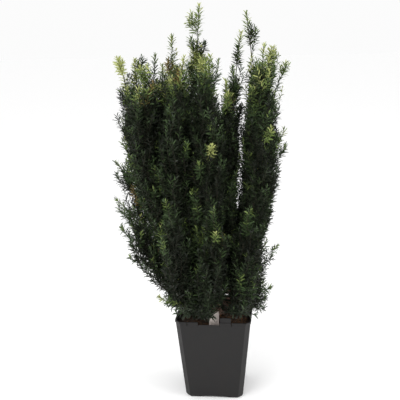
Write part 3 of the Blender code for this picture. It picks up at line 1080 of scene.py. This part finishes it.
@dataclass
class Studio:
    """The pale floor, the soft light and the camera of the photo."""

    eye: Point = (-0.0394, -2.33, 1.21)
    target: Point = (-0.0394, 0.0, 0.5648)
    lens: float = 78.32
    sensor: float = 36.0
    roll: float = radians(-1.0)
    floor_half: float = 9.0
    sky_colour: str = "#ffffff"
    sky_strength: float = 0.97
    lit_point: Point = (0.0, 0.0, 0.6)
    lamps: tuple[tuple[str, Point, float, float], ...] = (  # name, place, side in metres and power in watts
        ("key", (-1.6, -2.4, 2.6), 2.0, 45.0),
        ("fill", (2.4, -1.6, 1.8), 1.2, 22.0),
        ("left_edge", (-1.7, 0.0, 0.25), 0.5, 12.0),
        ("right_edge", (1.7, 0.0, 0.25), 0.5, 12.0),
    )

    def build(self) -> None:
        """Make the floor, the lights, the world and the camera."""
        mesh = bpy.data.meshes.new("studio_floor")
        half = self.floor_half
        corners = [(-half, -half, 0), (half, -half, 0), (half, half, 0), (-half, half, 0)]
        mesh.from_pydata(corners, [], [(0, 1, 2, 3)])
        mesh.materials.append(STUDIO_PAPER.material())
        floor = bpy.data.objects.new("studio_floor", mesh)
        bpy.context.scene.collection.objects.link(floor)
        world = bpy.data.worlds.new("studio")
        world.use_nodes = True
        sky = world.node_tree.nodes["Background"]
        sky.inputs["Color"].default_value = linear(self.sky_colour)
        sky.inputs["Strength"].default_value = self.sky_strength
        bpy.context.scene.world = world
        for lamp in self.lamps:
            self.add_lamp(*lamp)
        camera = bpy.data.objects.new("camera", bpy.data.cameras.new("camera"))
        camera.data.lens = self.lens
        camera.data.sensor_width = self.sensor
        aim = self.towards(self.eye, self.target).to_matrix().to_4x4()
        camera.matrix_world = Matrix.Translation(self.eye) @ aim @ Matrix.Rotation(self.roll, 4, "Z")
        bpy.context.scene.collection.objects.link(camera)
        bpy.context.scene.camera = camera
        bpy.context.scene.view_settings.view_transform = "Standard"

    @staticmethod
    def towards(place: Point, aim: Point) -> Any:
        """The turn of a lamp or camera at a place that faces another."""
        return (Vector(aim) - Vector(place)).to_track_quat("-Z", "Y")

    def add_lamp(self, name: str, place: Point, size: float, power: float) -> None:
        """Add a soft square light that faces the crown.

        Args:
            name: the light's name.
            place: where it hangs.
            size: its side in metres.
            power: its power in watts.
        """
        light = bpy.data.lights.new(name, "AREA")
        light.size = size
        light.energy = power
        lamp = bpy.data.objects.new(name, light)
        lamp.location = place
        lamp.rotation_euler = self.towards(place, self.lit_point).to_euler()
        bpy.context.scene.collection.objects.link(lamp)


# Leaders and side shoots that stand out of the crown: mass, tip and run to the limb in millimetres, tone
LEADERS = (
    ("left_edge", (-246, -30, 960), 50, Tone.PALE),
    ("left_outer", (-183, -50, 966), 50, Tone.OLD),
    ("left_fore", (-186, -95, 946), 50, Tone.FRESH),
    ("left_fore", (-168, -95, 950), 50, Tone.FRESH),
    ("left_front", (-90, -110, 940), 50, Tone.STRAW),
    ("left_tall", (-118, 15, 950), 60, Tone.STRAW),
    ("left_tall", (-92, 15, 930), 60, Tone.OLD),
    ("centre_tall", (-54, -5, 1074), 50, Tone.FRESH),
    ("centre_tall", (-60, -5, 1055), 40, Tone.FRESH),
    ("centre_tall", (-56, -8, 1010), 50, Tone.GREEN),
    ("centre_tall", (-20, -8, 1000), 60, Tone.OLD),
    ("centre_front", (-30, -110, 966), 50, Tone.PALE),
    ("centre_front", (-6, -100, 970), 60, Tone.FRESH),
    ("centre_front", (13, -100, 960), 120, Tone.GREEN),
    ("centre_front", (-2, -100, 950), 90, Tone.GREEN),
    ("slot_side", (53, -40, 935), 90, Tone.GREEN),
    ("slot_side", (66, -10, 985), 60, Tone.OLD),
    ("right_tall", (117, 30, 1028), 70, Tone.GREEN),
    ("right_tall", (104, 20, 1040), 60, Tone.OLD),
    ("right_back", (162, 60, 975), 50, Tone.PALE),
    ("right_back", (172, 60, 960), 50, Tone.FRESH),
    ("right_front", (160, -50, 945), 100, Tone.GREEN),
    ("right_edge", (194, -10, 942), 40, Tone.FRESH),
    ("right_edge", (194, -15, 720), 70, Tone.GREEN),
    ("right_edge", (190, -20, 765), 70, Tone.FRESH),
    ("low_left", (-238, -10, 683), 90, Tone.GREEN),
    ("low_left", (-268, 10, 640), 60, Tone.OLD),
    ("low_left_fore", (-262, -35, 560), 50, Tone.GREEN),
    ("low_left_fore", (-256, -35, 505), 60, Tone.GREEN),
    ("low_left_skirt", (-236, -25, 410), 30, Tone.GREEN),
    ("low_front_left", (-155, -70, 305), 20, Tone.FRESH),
    ("low_right", (174, 0, 426), 30, Tone.GREEN),
    ("low_right", (159, 0, 395), 30, Tone.OLD),
    ("low_right", (153, -20, 310), 20, Tone.GREEN),
    ("low_right", (140, -30, 282), 12, Tone.OLD),
    ("centre_front", (-7, -188, 757), 50, Tone.PALE),
    ("left_front", (-70, -175, 760), 70, Tone.GREEN),
    ("centre_front", (-40, -190, 715), 70, Tone.GREEN),
    ("right_front", (145, -135, 790), 50, Tone.FRESH),
    ("centre_right", (36, -125, 880), 60, Tone.FRESH),
    ("centre_right", (68, -70, 705), 90, Tone.GREEN),
    ("right_front", (60, -60, 600), 60, Tone.OLD),
    ("right_front", (56, -50, 550), 60, Tone.OLD),
    ("slot_side", (78, -10, 830), 70, Tone.OLD),
    ("left_outer", (-212, -20, 800), 70, Tone.GREEN),
    ("left_edge", (-228, -10, 880), 60, Tone.FRESH),
)


def main() -> None:
    """Build and dress every piece."""
    logging.basicConfig(level=logging.INFO, format="%(message)s")
    rng = np.random.default_rng(SEED)
    names = sorted(node.removeprefix("foliage_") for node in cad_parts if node.startswith("foliage_"))
    Studio().build()
    Container().build()
    crown = Crown(rng)
    for name in names:
        crown.grow_mass(name)
    for mass, tip, run, tone in LEADERS:
        crown.grow_leader(mass, tip, run, tone)
    wood = Wood(rng)
    boughs = wood.routes(names)
    crown.grow_skirt(boughs)
    for piece in crown.dress():
        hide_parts(*(f"foliage_{name}" for name in names))
    wood.build_stem()
    wood.build_boughs(names, boughs)
    PottedSoil(rng).build()


if __name__ == "__main__":
    main()
